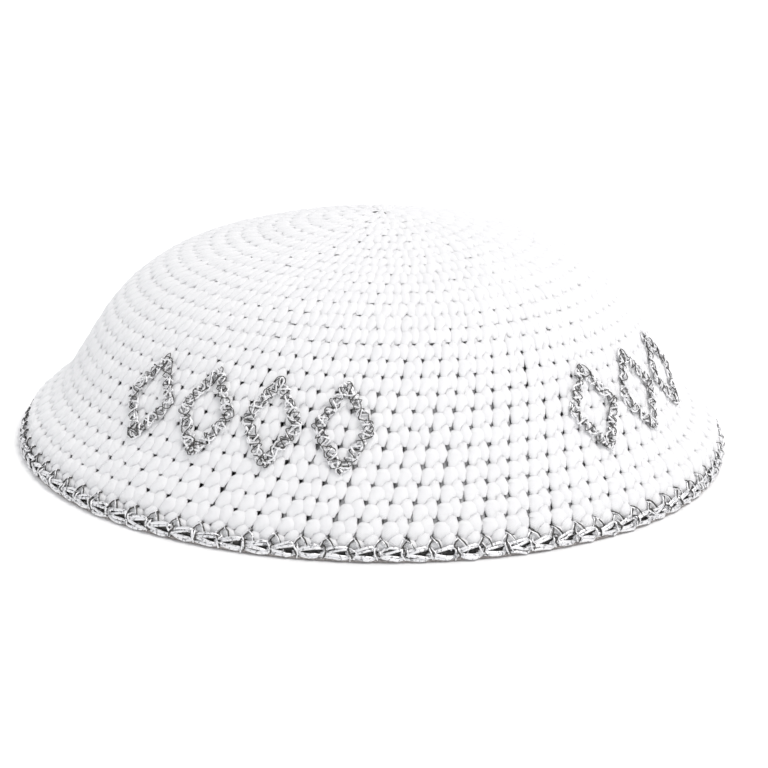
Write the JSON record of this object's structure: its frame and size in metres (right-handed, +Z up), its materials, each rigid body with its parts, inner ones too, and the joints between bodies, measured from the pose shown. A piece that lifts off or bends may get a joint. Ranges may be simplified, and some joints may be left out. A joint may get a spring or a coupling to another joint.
{
  "type": "kippah skullcap",
  "caption": "White crocheted skullcap, a soft domed shell with a flared rim, silver thread edging and a band of raised silver diamonds.",
  "frame": {"origin": "on the surface the rim rests on, under the crown", "axes": "+Z up along the crown, -Y towards the camera of the picture, +X to the right of it"},
  "size_m": [0.1924, 0.1852, 0.0608],
  "materials": {
    "white_cotton": "matte cotton yarn in single crochet",
    "silver_braid": "shiny metallic thread, crocheted edge",
    "silver_thread": "fine metallic thread, tangled into strokes"
  },
  "bodies": {
    "root": {"crochet_cap": "white_cotton", "silver_edging": "silver_braid", "diamond_front_left_1": "silver_thread", "diamond_front_left_2": "silver_thread", "diamond_front_left_3": "silver_thread", "diamond_front_left_4": "silver_thread", "diamond_front_right_1": "silver_thread", "diamond_front_right_2": "silver_thread", "diamond_front_right_3": "silver_thread", "diamond_back_left_1": "silver_thread", "diamond_back_left_2": "silver_thread", "diamond_back_left_3": "silver_thread", "diamond_back_left_4": "silver_thread", "diamond_back_right_1": "silver_thread", "diamond_back_right_2": "silver_thread", "diamond_back_right_3": "silver_thread"}
  },
  "joints": []
}
